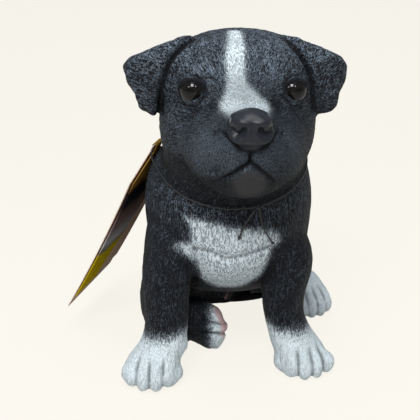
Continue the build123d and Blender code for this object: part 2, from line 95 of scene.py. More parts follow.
# %% Cords
CORD = 1.0
KNOT_PLACE = (18.3, -124.9, 117.2)
NECK_ROUTE = [
    (19.0, -124.7, 117.3), (29.9, -119.0, 119.3), (41.0, -108.9, 123.2), (48.0, -95.8, 128.2),
    (50.3, -81.2, 133.8), (47.5, -66.7, 139.4), (40.0, -53.9, 144.3), (28.5, -44.2, 148.0),
    (14.4, -38.5, 150.2), (-0.8, -37.6, 150.5), (-15.6, -41.6, 149.0), (-28.6, -48.2, 144.4),
    (-39.3, -56.7, 137.6), (-46.7, -77.3, 136.4), (-45.4, -87.2, 132.4), (-39.9, -98.0, 127.4),
    (-32.8, -109.9, 122.8), (-22.1, -119.4, 119.1), (-8.9, -125.4, 116.8), (5.6, -127.1, 116.1),
    (17.6, -125.0, 117.1),
]
TAIL_ROUTES = [
    [KNOT_PLACE, (14.6, -125.4, 113.2), (11.2, -126.6, 108.6), (8.8, -127.8, 103.6), (7.2, -128.2, 98.6)],
    [KNOT_PLACE, (19.4, -124.9, 112.2), (20.2, -125.1, 107.2), (21.9, -124.9, 102.2), (24.8, -123.9, 97.4),
     (27.2, -122.6, 93.0)],
]


def cord_curve(name, routes, thickness=CORD, closed=False):
    """A round cord along each route, its control points given in millimetres."""
    curve = bpy.data.curves.new(name, "CURVE")
    curve.dimensions = "3D"
    curve.bevel_depth = 1.0
    curve.bevel_resolution = 4
    curve.use_fill_caps = True
    for route in routes:
        spline = curve.splines.new("NURBS")
        spline.points.add(len(route) - 1)
        for point, place in zip(spline.points, route):
            point.co = (*(Vector(place) * MM), 1)
            point.radius = thickness / 2 * MM
        spline.order_u = 3
        spline.use_endpoint_u = not closed
        spline.use_cyclic_u = closed
        spline.resolution_u = 10
    return placed(name, curve)


neck_cord = cord_curve("neck_cord_line", [NECK_ROUTE])
cord_tails = cord_curve("cord_tail_lines", TAIL_ROUTES)

# %% [markdown]
# The knots are the same cord passed round itself. A ball would do from far away, but close up a knot
# shows its turns, so each is a small closed loop of three lobes, as thick as the cord, pulled tight.

# %% Knots
KNOT_TURNS = 18


def knot_route(centre, size, lean):
    """Three-lobed loop round a centre, which reads as a tight overhand knot."""
    route = []
    reach = (size - CORD) / 2
    for step in range(KNOT_TURNS):
        t = 2 * math.pi * step / KNOT_TURNS
        across = (math.sin(t) + 2 * math.sin(2 * t)) / 3
        up = (math.cos(t) - 2 * math.cos(2 * t)) / 3
        deep = -math.sin(3 * t)
        place = Vector((across, 0.45 * deep, up)) * reach
        place.rotate(Vector((0, 0, 1)).rotation_difference(Vector((lean, 0, 1))))
        route.append(tuple(Vector(centre) + place))
    return route


neck_knot = cord_curve("neck_knot_line", [knot_route(KNOT_PLACE, 3.6, 0.3)], 0.95, True)
end_knots = cord_curve("end_knot_lines", [knot_route(r[-1], 2.6, 0.2) for r in TAIL_ROUTES], 0.85, True)
for piece, node in ((neck_cord, "neck_cord"), (cord_tails, "cord_tails"),
                    (neck_knot, "cord_knot"), (end_knots, "cord_end_knots")):
    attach(piece, "figure")
    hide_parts(node)
print("cord points:", len(NECK_ROUTE), [len(r) for r in TAIL_ROUTES])

# %% [markdown]
# The puppy's skin starts as clay: one copy of all the castings, turned into an even net of small squares.
# A voxel remesh does that, and it also welds the castings where they overlap. A subdivision surface would
# need a clean net drawn by hand, and this form is too rounded and too lumpy to be worth that.
# A coarse remesh comes first and is smoothed, so that creases between forms close up as clay does.

# %% Clay
CASTINGS = ["body_casting", "head_casting", "left_ear", "right_ear", "left_foreleg", "right_foreleg",
            "left_hind_leg", "right_hind_leg", "tail"]
COARSE_VOXEL = 1.4
FINE_VOXEL = 0.81


def merged_copy(names):
    """One mesh from copies of CAD nodes, with their doubled corners merged."""
    shape = bmesh.new()
    for name in names:
        shape.from_mesh(frame["nodes"][name].data)
    bmesh.ops.remove_doubles(shape, verts=shape.verts, dist=1e-6)
    mesh = bpy.data.meshes.new("clay")
    shape.to_mesh(mesh)
    shape.free()
    return mesh


def with_modifiers(mesh, steps):
    """The mesh after a list of modifiers, each a type and its settings."""
    holder = placed("holder", mesh)
    for kind, settings in steps:
        modifier = holder.modifiers.new(kind, kind)
        for key, value in settings.items():
            setattr(modifier, key, value)
    view = bpy.context.evaluated_depsgraph_get()
    result = bpy.data.meshes.new_from_object(holder.evaluated_get(view))
    bpy.data.objects.remove(holder)
    return result


clay = with_modifiers(merged_copy(CASTINGS + ["base_plug", "left_eye", "right_eye"]), [
    ("REMESH", {"mode": "VOXEL", "voxel_size": COARSE_VOXEL * MM}),
    ("SMOOTH", {"factor": 0.5, "iterations": 9}),
    ("REMESH", {"mode": "VOXEL", "voxel_size": FINE_VOXEL * MM}),
    ("SMOOTH", {"factor": 0.5, "iterations": 3}),
])
print("clay:", len(clay.vertices), "points")

# %% [markdown]
# The castings are hollow, so the clay also has an inner skin, which a sculptor never sees.
# Islands of the net are found by letting each point take the lowest number among its neighbours until
# nothing changes, and only the largest island is kept.

# %% Keep the outer skin


def values_of(items, key, width=1, kind=np.float64):
    """One value of every item as an array, with a row to each item if it has several numbers."""
    flat = np.empty(len(items) * width, kind)
    items.foreach_get(key, flat)
    return flat.reshape(-1, width) if width > 1 else flat


def outer_skin(mesh):
    """Deletes all but the largest island of a mesh."""
    ends = values_of(mesh.edges, "vertices", 2, np.int64)
    label = np.arange(len(mesh.vertices))
    while True:
        lowest = np.minimum(label[ends[:, 0]], label[ends[:, 1]])
        new = label.copy()
        np.minimum.at(new, ends[:, 0], lowest)
        np.minimum.at(new, ends[:, 1], lowest)
        new = new[new]
        if (new == label).all():
            break
        label = new
    names, counts = np.unique(label, return_counts=True)
    outside = names[counts.argmax()]
    shape = bmesh.new()
    shape.from_mesh(mesh)
    shape.verts.ensure_lookup_table()
    inner = [shape.verts[i] for i in np.nonzero(label != outside)[0]]
    bmesh.ops.delete(shape, geom=inner, context="VERTS")
    shape.to_mesh(mesh)
    shape.free()


outer_skin(clay)
print("outer skin:", len(clay.vertices), "points")

# %% [markdown]
# The clay is shaped by strokes, as with fingers and a loop tool: a mound pushes the skin out round a point,
# and a groove presses it in along a line. Each stroke moves points along the skin's own direction, so
# nothing tears. Sculpting by hand would give the same, but strokes in code can be read and repeated.

# %% Points and directions of the skin
skin_points = values_of(clay.vertices, "co", 3) / MM
corners = values_of(clay.loops, "vertex_index", kind=np.int64).reshape(-1, 4)


def skin_directions(points):
    """Unit normal at each point of the net of four-sided faces."""
    a, b, c, d = (points[corners[:, i]] for i in range(4))
    face = np.cross(c - a, d - b)
    normal = np.zeros_like(points)
    for i in range(4):
        np.add.at(normal, corners[:, i], face)
    return normal / np.maximum(np.linalg.norm(normal, axis=1), 1e-9)[:, None]


directions = skin_directions(skin_points)
print("faces of the skin:", len(corners))

# %% [markdown]
# The head looks 4.5 degrees to the puppy's left. Everything on it is placed in its own measures:
# across from the middle of the face, forward from the middle of the skull, and height over the ground.

# %% Measures of the head
HEAD_MIDDLE = (6.3, -94.0)
HEAD_YAW = math.radians(4.5)
HEAD_ROLL = math.tan(math.radians(1.2))
NECK_MIDDLE = np.array((4.0, -82.0, 133.5))
NECK_UP = np.array((0, -math.sin(math.radians(21)), math.cos(math.radians(21))))
TO_HEAD = np.array(((math.cos(HEAD_YAW), math.sin(HEAD_YAW)), (math.sin(HEAD_YAW), -math.cos(HEAD_YAW))))


def head_measures(points):
    """Across, forward and height of each point, as the head measures them."""
    flat = (points[:, :2] - HEAD_MIDDLE) @ TO_HEAD.T
    return np.column_stack((flat, points[:, 2] + flat[:, 0] * HEAD_ROLL))


def over_neck(points):
    """How far each point lies above the joint between the neck and the head."""
    return (points - NECK_MIDDLE) @ NECK_UP


def fade(value, start, end):
    """0 at the start, 1 at the end, and smooth in between."""
    t = np.clip((value - start) / (end - start), 0, 1)
    return t * t * (3 - 2 * t)


def to_head(vectors):
    """Directions as the head measures them."""
    return np.column_stack((vectors[:, :2] @ TO_HEAD.T, vectors[:, 2]))


face = head_measures(skin_points)
on_head = fade(over_neck(skin_points), -2, 4)
facing = to_head(directions)[:, 1]
print("points on the head:", int((on_head > 0.5).sum()))

# %% [markdown]
# Two kinds of stroke are enough for a whole face.

# %% Strokes


def mound(places, middle, sizes, height):
    """Weight of a rounded push about a middle, as wide as its sizes, times its height."""
    return height * np.exp(-(((places - middle) / sizes) ** 2).sum(1))


def line_distance(places, line):
    """Distance from each place to a line of straight runs, in two or three measures."""
    nearest = np.full(len(places), 1e9)
    for start, end in zip(line, line[1:]):
        start, run = np.array(start, float), np.subtract(end, start)
        along = np.clip(((places - start) @ run) / (run @ run), 0, 1)
        nearest = np.minimum(nearest, np.linalg.norm(places - start - along[:, None] * run, axis=1))
    return nearest


def groove(places, line, width, depth):
    """Weight of a pressed line, negative because it goes in."""
    return -depth * np.exp(-((line_distance(places, line) / width) ** 2))


# %% [markdown]
# The puppy's face is broad: full cheeks, two soft brows, a dip between the eyes and a short square muzzle
# whose lips hang a little over the corners of the mouth. The mounds below give it these forms.

# %% Big forms of the face
push = np.zeros(len(skin_points))
for side in (1, -1):
    push += mound(face, (side * 26, 36, 201), (13, 16, 9), 2.2)
    push += mound(face, (side * 16, 62, 163), (10, 16, 9), 2.6)
    push += mound(face, (side * 31, 40, 158), (13, 18, 14), 2.0)
    push += mound(face, (side * 22, 52, 149), (11, 16, 7), 1.8)
    push += mound(face, (side * 19, 44, 183), (6, 9, 7), -1.6)
push += mound(face, (0, 42, 190), (7, 10, 9), -1.2)
push += mound(face, (0, 62, 176), (9, 14, 8), 2.0)
push += mound(face, (0, 55, 137), (12, 16, 6), 1.5)
skin_points += directions * (push * on_head)[:, None]
directions = skin_directions(skin_points)
face = head_measures(skin_points)
facing = to_head(directions)[:, 1]
print("largest push, mm:", round(float(np.abs(push).max()), 2))

# %% [markdown]
# The mouth is a closed line: straight down from the nose, then out and down on each side to the corners.
# Short creases beside the nose and over the eyes give the look of soft skin. All are pressed in from
# in front, so only skin that faces forward takes them.

# %% Lines of the face
from_front = np.column_stack((face[:, 0], face[:, 2]))
front_skin = on_head * fade(facing, 0.05, 0.35) * fade(face[:, 1], 10, 20)
MOUTH = [(-19.8, 144), (-16.5, 147), (-12.6, 149.6), (-8, 152.6), (-4.3, 155.6), (-0.4, 158.2), (3.2, 155.8),
         (7.2, 151.6), (11.4, 147.6), (15, 144.4), (18, 142)]
JOWLS = [[(-38, 143), (-32, 140.5), (-25, 140.5), (-19.8, 144)], [(18, 142), (24, 139.5), (30, 139), (36, 141)]]
PHILTRUM = [(-0.4, 167), (-0.4, 158.5)]
NOSE_CREASES = [[(-19, 172.2), (-16, 173.9), (-13.5, 173.4), (-10.5, 171)],
                [(18, 172.6), (15.5, 174.2), (12.5, 173.2)]]
LIP_FOLDS = [[(-33, 149), (-25, 150), (-17, 153)], [(17, 152), (25, 148.5), (32, 147)]]
press = groove(from_front, MOUTH, 1.6, 1.7) * fade(-np.abs(from_front[:, 0] + 1), -22, -8)
press += groove(from_front, JOWLS[0], 2.4, 1.1) + groove(from_front, JOWLS[1], 2.4, 1.1)
press += groove(from_front, PHILTRUM, 1.1, 1.8)
for line in NOSE_CREASES:
    press += groove(from_front, line, 1.0, 1.3)
for line in LIP_FOLDS:
    press += groove(from_front, line, 2.2, 0.5)
press += mound(from_front, (-0.5, 151.8), (5.0, 2.6), 1.1) + mound(from_front, (0, 142), (8, 4), 0.8)
skin_points += directions * (press * front_skin)[:, None]
directions = skin_directions(skin_points)
face = head_measures(skin_points)
print("mouth points:", len(MOUTH))

# %% [markdown]
# The nose is a broad, smooth leather pad with a ridge on top, a groove down its middle and two nostrils
# shaped like commas. It is pushed out of the same clay, because on the real casting it is one with the head.

# %% Nose
NOSE = (-0.2, 70.0, 176.0)
nose_across = face[:, 0] - NOSE[0]
nose_up = face[:, 2] - NOSE[2]
NOSE_LEVELS = (-10.6, -9.4, -8, -5.6, -3, -1, 2, 4.5, 9)
NOSE_HALVES = (0, 3.5, 5.6, 8.8, 11.3, 12.0, 11.4, 9.6, 7.6)
nose_half = np.interp(nose_up, NOSE_LEVELS, NOSE_HALVES)
nose_pad = fade(nose_half - np.abs(nose_across), -1.0, 0.9) * fade(face[:, 1] + nose_up / 3, 61, 65)
nose_pad = nose_pad * fade(nose_up, -10.6, -9) * on_head
NOSTRILS = [[(-4.2, 2.0), (-5.6, -0.2), (-7.8, -1.0), (-9.4, 0.4)], [(4.2, 2.0), (5.6, -0.2), (7.8, -1.0), (9.4, 0.4)]]
pad_places = np.column_stack((nose_across, nose_up))
push = 1.4 * nose_pad
push += mound(pad_places, (-5.4, 5.0), (4.0, 1.8), 1.7) + mound(pad_places, (5.4, 5.0), (4.0, 1.8), 1.7)
push += mound(pad_places, (-6.2, -4.2), (3.6, 1.5), 1.1) + mound(pad_places, (6.2, -4.2), (3.6, 1.5), 1.1)
push += groove(pad_places, [(0, 4.0), (0, -10)], 0.9, 1.0)
for line in NOSTRILS:
    push += groove(pad_places, line, 1.5, 3.4)
skin_points += directions * (push * fade(face[:, 1], 50, 58) * on_head)[:, None]
directions = skin_directions(skin_points)
face = head_measures(skin_points)
print("points on the nose:", int((nose_pad > 0.5).sum()))

# %% [markdown]
# Each glass eye sits in a socket, and the lids are clay laid over it. Inside the opening the skin is drawn
# back into the ball, so the glass shows. Round the opening it is raised to a rim that lies on the ball,
# with a fold above the upper lid and a soft bag under the lower one.

# %% Eyes
EYE_ACROSS = 28.0
EYE_FORWARD = 29.0
EYE_HEIGHT = 187.0
EYE_RADIUS = 8.0
EYE_TURN = math.radians(20)
EYE_OPENING = (7.0, 5.8)
LID = 0.65
eye_rim = np.zeros(len(skin_points))
eye_bag = np.zeros(len(skin_points))
for side in (1, -1):
    aim = np.array((side * math.sin(EYE_TURN), math.cos(EYE_TURN), 0))
    out = np.array((side * math.cos(EYE_TURN), -math.sin(EYE_TURN), 0))
    arm = face - np.array((side * EYE_ACROSS, EYE_FORWARD, EYE_HEIGHT))
    u, v, w = arm @ out, arm[:, 2], arm @ aim
    tipped = v + 0.16 * u
    tall = np.where(tipped > 0, EYE_OPENING[1] + 0.4, EYE_OPENING[1] - 1.0)
    ring = np.sqrt((u / EYE_OPENING[0]) ** 2 + (tipped / tall) ** 2)
    ahead = fade(w, 0, 2) * fade(-np.abs(u), -20, -14) * fade(-np.abs(v), -20, -14)
    reach = np.linalg.norm(arm, axis=1)
    lid_level = EYE_RADIUS + LID * (1 + 1.0 * fade(v, 0, 4))
    inside = fade(-ring, -1.0, -0.86)
    goal = np.where(ring < 1.0, lid_level - inside * (LID + 1.6), np.maximum(reach, lid_level))
    pull = fade(-ring, -2.1, -1.05) * ahead
    change = (goal - reach) * pull
    outward = arm / np.maximum(reach, 1e-6)[:, None]
    eye_front = np.column_stack((u, tipped))
    fold = groove(eye_front, [(-9.6, 0.5), (-7.4, 6.4), (-1, 9.4), (5.4, 8.2), (9.6, 2.5)], 1.1, 0.9)
    fold += groove(eye_front, [(-9.4, -3.2), (-4, -9.2), (3, -9.4), (9.0, -4.4)], 1.3, 0.8)
    fold += groove(eye_front, [(7.4, -1.5), (10.5, -4.0)], 1.2, 0.8)
    change += fold * ahead
    change = np.where(ring > 1.0, np.maximum(change, EYE_RADIUS + 0.5 - reach) * ahead, change)
    moved = outward * change[:, None]
    flat = moved[:, :2] @ TO_HEAD
    skin_points += np.column_stack((flat, moved[:, 2]))
    eye_rim = np.maximum(eye_rim, fade(-ring, -1.30, -1.12) * ahead * (0.35 + 0.65 * fade(tipped, -3, 1)))
    eye_bag = np.maximum(eye_bag, np.exp(-((np.hypot(u / 8.6, (tipped + 6.2) / 2.4)) ** 2)) * ahead)
directions = skin_directions(skin_points)
face = head_measures(skin_points)
print("points on the lids:", int((eye_rim > 0.5).sum()))

# %% [markdown]
# The ears fold over at the top and hang close to the head. On the real casting a knife line parts each ear
# from the head, and the top of the fold is soft. First the rough corner at the top is relaxed, which draws
# each point towards the middle of its neighbours, and then the line is pressed in.

# %% Ears
net = values_of(clay.edges, "vertices", 2, np.int64)
neighbours = np.bincount(net.ravel(), minlength=len(skin_points))


def neighbour_mean(values):
    """Mean of a value, one or three numbers each, over the neighbours of every point."""
    columns = values.reshape(len(values), -1).T
    total = [np.bincount(net.ravel(), column[net[:, ::-1].ravel()], len(column)) for column in columns]
    return (np.array(total) / neighbours).T.reshape(values.shape)


def relax(points, weight, rounds):
    """Draws points towards their neighbours, as much as the weight says."""
    for _ in range(rounds):
        points = points + (neighbour_mean(points) - points) * (0.6 * weight)[:, None]
    return points


EAR_LINES = [[(-24, 213), (-30.8, 209.5), (-36.7, 204.5), (-41.2, 198), (-43.8, 191), (-45.8, 182), (-46.4, 168)],
             [(27, 213), (33.5, 205.5), (37.5, 199), (40.2, 193.5), (41.6, 187), (42.6, 172)]]
ear_corner = np.zeros(len(skin_points))
for side in (1, -1):
    ear_corner += mound(face, (side * 34, -2, 211), (9, 18, 8), 1.6)
ear_corner += mound(face, (-0.4, 72, 168), (3, 5, 3), 0.8)
skin_points = relax(skin_points, np.clip(ear_corner, 0, 1) * on_head, 120)
directions = skin_directions(skin_points)
face = head_measures(skin_points)
from_front = np.column_stack((face[:, 0], face[:, 2]))
facing = to_head(directions)[:, 1]
ear_front = on_head * fade(facing, -0.1, 0.25) * fade(face[:, 1], -6, 2)
press = np.zeros(len(skin_points))
for line in EAR_LINES:
    side = np.sign(line[0][0])
    past_line = [(a + side * 3.6, h) for a, h in line]
    press += (groove(from_front, line, 1.5, 3.4) - groove(from_front, past_line, 2.6, 1.3)) * ear_front
    press += mound(face, (side * 50, 12, 201), (9, 12, 6), 1.0)
skin_points += directions * (press * on_head)[:, None]
directions = skin_directions(skin_points)
print("ear lines:", len(EAR_LINES))

# %% [markdown]
# Paws: toes are parted by valleys that fan out from the top of the foot to its front edge. Each valley is a
# groove seen from above, and it fades out up the leg. The foot that lies on its side between the forelegs
# gets the same valleys, seen from in front.

# %% Toes
VALLEY = 1.9
FOLDED_FOOT = [(-45, -84, 17), (2, -86, 17)]
FOOT_REACH = 24


def toes(centre, aim, spread, level, depth, bulge=0.9):
    """Valleys between four toes of a standing foot, aimed at an angle from straight ahead."""
    turn = math.radians(aim)
    ahead = np.array((math.sin(turn), -math.cos(turn)))
    beside = np.array((math.cos(turn), math.sin(turn)))
    plan = skin_points[:, :2] - centre
    plan = np.column_stack((plan @ beside, plan @ ahead))
    low = fade(-skin_points[:, 2], -level, -level + 9) * fade(plan[:, 1], 0, 9)
    total = np.zeros(len(skin_points))
    for lane in (-1, 0, 1):
        line = [(lane * spread * 0.75, 4), (lane * spread * 0.95, 12), (lane * spread * 1.2, 26)]
        total += groove(plan, line, VALLEY, depth)
    for lane in (-1.5, -0.5, 0.5, 1.5):
        total += mound(plan, (lane * spread, 17 - 3.5 * abs(lane)), (3.0, 6.0), bulge)
    return total * low * (np.abs(plan[:, 0]) < 2.6 * spread) * (plan[:, 1] < 30)


feet = mound(skin_points, (-46, -132, 8), (24, 17, 17), 1.3) + mound(skin_points, (49.5, -118, 8), (24, 17, 17), 1.3)
skin_points = relax(skin_points, np.clip(feet, 0, 1), 14)
directions = skin_directions(skin_points)
press = toes((-46, -123), -4, 8.8, 24, 1.5) + toes((49.5, -108), 14, 8.6, 24, 1.5)
press += toes((58.5, -25), 20, 6.6, 24, 1.2)
side_view = np.column_stack((skin_points[:, 0], skin_points[:, 2]))
folded = fade(-skin_points[:, 1], 78, 84) * fade(skin_points[:, 0], -24, -14) * (skin_points[:, 0] < 9)
folded *= line_distance(skin_points, FOLDED_FOOT) < FOOT_REACH
for line in ([(-15, 25.5), (-6, 24.5), (4, 21.5)], [(-15, 17), (-6, 15.5), (4, 12.5)]):
    press += groove(side_view, line, 1.7, 2.3) * folded
for middle in ((-1, 29), (0.5, 18), (-1, 8)):
    press += mound(side_view, middle, (5, 3.6), 1.0) * folded
press += mound(skin_points, (-24, -84, 34), (12, 9, 7), 5.0)
press += mound(skin_points, (-27.4, -121, 23.5), (3.2, 4.0, 4.6), 2.6)
press += mound(skin_points, (32.4, -107.5, 22.5), (3.2, 4.0, 4.6), 2.6)
skin_points += directions * press[:, None]
x, y, z = skin_points.T
foot = fade(-y, 68, 80) * fade(x, -30, -22) * (line_distance(skin_points, FOLDED_FOOT) < FOOT_REACH)
heel_rise = fade(-z, -16, -2) * np.clip(-11 - x, 0, 12) * 0.5
toe_drop = fade(z, 16, 30) * np.clip(x + 14, 0, 18) * 0.36
skin_points[:, 2] += foot * (heel_rise - toe_drop)
skin_points[:, 0] -= foot * fade(x, -8, 3) * 2.6
rump = fade(-y, 8, 18) * fade(y, -58, -48) * fade(-z, -24, -14) * fade(x, -26, -16) * fade(-x, -36, -30)
skin_points[:, 1] += rump * np.interp(x, (-16, 4, 10, 24), (-6, -2, 6, 22))
directions = skin_directions(skin_points)
print("deepest valley, mm:", round(float(-press.min()), 2))

# %% [markdown]
# The chest swells between the forelegs, with a faint fold across it, and the legs part from it in a crease.

# %% Chest
front = np.column_stack((skin_points[:, 0], skin_points[:, 2]))
ahead = fade(-directions[:, 1], 0.1, 0.5) * (1 - on_head) * fade(-skin_points[:, 1], 90, 100)
CHEST_FOLD = [(-20, 88.5), (-10, 88.5), (-1, 84), (11, 86), (26, 89.5)]
ARMPITS = [[(-20.5, 86), (-18.5, 76), (-17, 62)], [(29.5, 85), (27.5, 76), (24, 62)]]
press = groove(front, CHEST_FOLD, 2.0, 1.1)
for line in ARMPITS:
    press += groove(front, line, 3.0, 1.3)
press += mound(front, (3, 102), (17, 9), 1.2) + mound(front, (3, 75), (13, 9), 1.3)
skin_points += directions * (press * ahead)[:, None]
directions = skin_directions(skin_points)
print("chest fold and armpits pressed in")

# %% [markdown]
# Markings: a white blaze up the face, a white chest, white forefeet and left hind foot, and toes of the
# folded foot that are white with pink pads. Each is a mask on the skin's points. An outline seen from in
# front gives a mask with soft edges, and the fur breaks that edge up later, as a dry brush does.

# %% Markings


def patch(places, outline, softness):
    """1 inside an outline, 0 outside it, and soft across its edge."""
    inside = np.zeros(len(places), bool)
    for (x0, y0), (x1, y1) in zip(outline, outline[1:] + outline[:1]):
        if y0 == y1:
            continue
        crosses = (y0 > places[:, 1]) != (y1 > places[:, 1])
        at = x0 + (places[:, 1] - y0) * (x1 - x0) / (y1 - y0)
        inside ^= crosses & (places[:, 0] < at)
    depth = line_distance(places, outline + outline[:1])
    return fade(np.where(inside, depth, -depth), -softness, softness)


BLAZE = [(-6, 222), (-7.6, 214.4), (-10.6, 210), (-11.8, 203.8), (-10.8, 194.1), (-12.8, 186.7), (-15.4, 181.9),
         (-14.8, 179), (-9, 177.5), (1.6, 178.5), (11, 177.5), (14.4, 180), (13.4, 183), (8.8, 187.0),
         (4.9, 190.9), (1.7, 194.3), (1.1, 204.2), (2.0, 211.0), (2.1, 214.5), (1, 222)]
CHEST = [(-26, 109), (-14.7, 109), (-3, 106.5), (7.6, 104.5), (21.3, 103), (31, 98.4), (33, 91.8), (28, 86),
         (26, 78.3), (22, 67), (9, 57), (-6, 57), (-16, 64), (-19.5, 77), (-26, 82.5), (-32.5, 88.5),
         (-29, 91.5), (-22, 93.9), (-22.5, 101.5)]
face = head_measures(skin_points)
from_front = np.column_stack((face[:, 0], face[:, 2]))
front = np.column_stack((skin_points[:, 0], skin_points[:, 2]))
x, y, z = skin_points.T
head_front = on_head * fade(face[:, 1], -4, 4)
white = 0.82 * patch(from_front, BLAZE, 3.4) * head_front
white = np.maximum(white, 0.80 * patch(front, CHEST, 4.6) * (1 - on_head) * fade(-y, 88, 96))
near_right_paw = fade(-np.hypot(x + 44, (y + 124) * 0.8), -30, -24)
near_left_paw = fade(-np.hypot(x - 46, (y + 110) * 0.8), -30, -24)
white = np.maximum(white, near_right_paw * fade(-z + 0.16 * (x + 44), -41, -24))
white = np.maximum(white, near_left_paw * fade(-z - 0.12 * (x - 46) + 0.1 * (y + 110), -40, -23))
near_left_foot = fade(-np.hypot(x - 62, (y + 30) * 0.7), -26, -20) * (x > 38)
white = np.maximum(white, near_left_foot * fade(-z, -32, -26))
near_fold = folded * (z < 35) * (line_distance(skin_points, FOLDED_FOOT) < 20)
white = np.maximum(white, near_fold * fade(x, -16, -5))
pads = near_fold * fade(x + 0.4 * np.maximum(z - 20, 0), -4.2, -1.6) * fade(z, 9, 14) * fade(-y, 68, 74)
lower_lip = patch(from_front, [(-7, 151), (-0.4, 154.5), (7, 151), (9.5, 146), (10, 140), (5, 134.5), (-4, 134.5),
                               (-9, 139.5), (-10, 146)], 3.2) * head_front
print("white share:", round(float(white.mean()), 3))

# %% [markdown]
# Fur on such a figure is scratched into the clay with a comb: short strokes that run with the coat. On the
# face they spread from the nose, and elsewhere they hang down. A noise that is squeezed along the strokes
# gives them. Its place is measured in stroke widths, so the same measure can drive both the carved skin
# and the finer strokes in the paint.

# %% Combed measure of the coat
STROKE_WIDTH = 1.15
STROKE_LENGTH = 4.6


def combed(points, face):
    """Place of each point in strokes: across a stroke twice, then along it."""
    from_nose = face - np.array((0.5, 62, 172))
    far = np.maximum(np.linalg.norm(from_nose, axis=1), 6)
    spread = from_nose / far[:, None] * (54 + far / 4)[:, None]
    hanging = points * (1, 1, 1 / STROKE_LENGTH)
    head = over_neck(points) > 0
    return np.where(head[:, None], spread, hanging) / STROKE_WIDTH


comb = combed(skin_points, face)
print("strokes across the body:", round(float(np.ptp(comb[:, 0]))))


def lattice(cells, seed):
    """A steady random number from 0 to 1 for each whole-numbered cell."""
    mixed = (cells[:, 0] * 73856093) ^ (cells[:, 1] * 19349663) ^ (cells[:, 2] * 83492791) ^ (seed * 2654435761)
    mixed = ((mixed ^ (mixed >> 13)) * 1274126177) & 0xFFFFFFFF
    return ((mixed ^ (mixed >> 16)) & 0xFFFF) / 65535


def noise(places, seed):
    """Smooth noise from 0 to 1, one cell to each unit."""
    low = np.floor(places).astype(np.int64)
    part = places - low
    part = part * part * (3 - 2 * part)
    total = np.zeros(len(places))
    for corner in np.ndindex(2, 2, 2):
        share = np.prod(np.where(corner, part, 1 - part), axis=1)
        total += share * lattice(low + np.array(corner), seed)
    return total


# %% [markdown]
# The strokes are carved 0.3 mm deep at most, and left out on the nose, the lids, the lips and the pads.

# %% Carve the fur
smooth_skin = np.maximum.reduce([nose_pad, eye_rim, 0.85 * lower_lip, pads])
wave = noise(comb * 0.62, 3) * 0.6 + noise(comb * 1.05, 5) * 0.4
tuft = np.clip((wave - 0.5) * 2.4, -1, 1)
patchy = noise(skin_points / 14, 9)
ROUNDING = 16
CREASE_DEPTH = 0.42
# How far each point lies below the rounded skin. The paint uses it to darken creases with painted shade, and to keep
# the dry brush out of them. The lid rims join it: dark lid paint, with painted shade under the upper lid, where the
# mask is strongest.
rounded = relax(skin_points, np.ones(len(skin_points)), ROUNDING)
shaded_hollow = np.clip(((rounded - skin_points) * directions).sum(axis=1) / CREASE_DEPTH, -1, 1)
shaded_hollow = np.maximum(shaded_hollow, 0.9 * eye_rim)
CARVE = 0.26
skin_points += directions * (CARVE * tuft * (1 - smooth_skin))[:, None]
print("carved tufts, mm:", CARVE)

# %% [markdown]
# The paint needs to know where it is, so the masks go onto the skin as attributes, three to a vector.
# The skin's directions are kept too: after the clay is cut into castings, both sides of a cut then shade
# alike, and the joint doesn't show, as on the real figure, where it is filled and painted over.

# %% Masks on the skin
directions = skin_directions(skin_points)
face = head_measures(skin_points)
x, y, z = skin_points.T
# How much dry brush each place takes: more high up, on the crown, the muzzle, the brows and the bags under the eyes.
brushed_and_shaded = 0.06 + 0.22 * fade(z, 86, 112)
brushed_and_shaded += on_head * 0.20 * fade(face[:, 2], 188, 203)
brushed_and_shaded += on_head * 0.38 * mound(face, (0, 56, 161), (26, 26, 11), 1.0)
brushed_and_shaded += on_head * 0.20 * mound(face, (0, 44, 190), (36, 20, 9), 1.0)
# Painted shade: under the mouth the dry brush is taken away, so the chin and lower jaw stay dark.
brushed_and_shaded *= 1 - 0.9 * on_head * fade(-face[:, 2], -150, -142)
brushed_and_shaded += 0.6 * eye_bag
brushed_and_shaded = np.clip(brushed_and_shaded * (0.75 + 0.5 * patchy) * (1 - np.clip(shaded_hollow, -0.4, 1)), 0, 1)
clay.vertices.foreach_set("co", (skin_points * MM).ravel())
for name, values in (("comb", comb), ("skin_direction", directions),
                     ("paint", np.column_stack((white, brushed_and_shaded, nose_pad))),
                     ("marks", np.column_stack((lower_lip, pads, np.clip(shaded_hollow, 0, 1))))):
    clay.attributes.new(name, "FLOAT_VECTOR", "POINT").data.foreach_set("vector", values.astype(np.float32).ravel())
clay.update()
print("attributes:", [a.name for a in clay.attributes if a.name in ("comb", "paint", "marks")])

# %% [markdown]
# The skin is cut where the real castings part: round the neck, under the shoulders, beside the rump, and
# at the roots of the ears and the tail. Straight cuts are made across the whole skin first, so that the
# edges of the pieces run true. Then each face is given to the casting whose region it lies in.

# %% Cut lines
SHOULDER_CUT = 66.0
HAUNCH_CUT = 34.0
RUMP_MIDDLE = 1.5
SHIN = [(-35, -8, 33), (-40.7, -40.3, 26.9), (-41.8, -65.5, 21.9), (-38.4, -84, 19), *FOLDED_FOOT]
TAIL = [(4.2, 20.3, 15.8), (0, 32.9, 12.3), (-9.8, 42, 9.7), (-23.8, 46.6, 7.5), (-37.1, 46.9, 6.1), (-52.5, 40.6, 3.6)]
cut_clay = bmesh.new()
cut_clay.from_mesh(clay)
for place, across in ((NECK_MIDDLE, NECK_UP), ((0, 0, SHOULDER_CUT), (0, 0, 1)),
                      ((RUMP_MIDDLE + HAUNCH_CUT, 0, 0), (1, 0, 0)), ((RUMP_MIDDLE - HAUNCH_CUT, 0, 0), (1, 0, 0))):
    everything = cut_clay.verts[:] + cut_clay.edges[:] + cut_clay.faces[:]
    bmesh.ops.bisect_plane(cut_clay, geom=everything, dist=1e-7, plane_co=Vector(place) * MM, plane_no=Vector(across))
cut_clay.to_mesh(clay)
cut_clay.free()
centres = values_of(clay.polygons, "center", 3) / MM
print("faces after the cuts:", len(centres))

